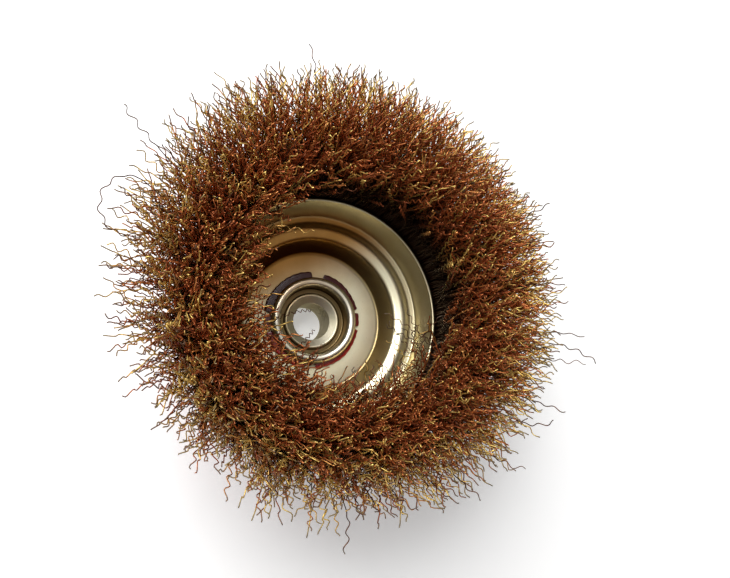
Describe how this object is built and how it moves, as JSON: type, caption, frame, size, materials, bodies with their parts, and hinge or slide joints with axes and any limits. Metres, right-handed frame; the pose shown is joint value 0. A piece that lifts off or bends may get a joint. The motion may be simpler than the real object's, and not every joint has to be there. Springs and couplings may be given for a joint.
{
  "type": "wire cup brush",
  "caption": "Crimped wire cup brush: a flared crown of brassy wires in a drawn steel cup with a stepped inner plate, on a threaded hexagonal hub nut.",
  "frame": {"origin": "centre of the hub nut's back face, on the spindle's axis", "axes": "+Z runs along the spindle's axis from the nut's back face towards the wire tips; +X and +Y are square to it, and the worn crown leans towards 65 degrees from +X"},
  "size_m": [0.1395, 0.1375, 0.0732],
  "materials": {
    "hub_steel": "turned steel, bright zinc plated",
    "washer_steel": "pressed steel, dull zinc plated",
    "red_lacquer": "glossy red lacquer over drawn steel",
    "bright_plate": "satin bright zinc plated pressed steel",
    "collar_steel": "polished nickel plated pressed steel",
    "ring_steel": "plain drawn steel rod",
    "brassed_wire": "crimped steel wire with a brass coat, tarnished to copper brown"
  },
  "bodies": {
    "root": {"hub_nut": "hub_steel", "back_washer": "washer_steel", "outer_cup": "red_lacquer", "inner_plate": "bright_plate", "front_collar": "collar_steel", "anchor_ring": "ring_steel", "wire_bundle_01": "brassed_wire", "wire_bundle_02": "brassed_wire", "wire_bundle_03": "brassed_wire", "wire_bundle_04": "brassed_wire", "wire_bundle_05": "brassed_wire", "wire_bundle_06": "brassed_wire", "wire_bundle_07": "brassed_wire", "wire_bundle_08": "brassed_wire", "wire_bundle_09": "brassed_wire", "wire_bundle_10": "brassed_wire", "wire_bundle_11": "brassed_wire", "wire_bundle_12": "brassed_wire", "wire_bundle_13": "brassed_wire", "wire_bundle_14": "brassed_wire", "wire_bundle_15": "brassed_wire", "wire_bundle_16": "brassed_wire", "wire_bundle_17": "brassed_wire", "wire_bundle_18": "brassed_wire", "wire_bundle_19": "brassed_wire", "wire_bundle_20": "brassed_wire", "wire_bundle_21": "brassed_wire", "wire_bundle_22": "brassed_wire", "wire_bundle_23": "brassed_wire", "wire_bundle_24": "brassed_wire", "stray_wires": "brassed_wire"}
  },
  "joints": []
}
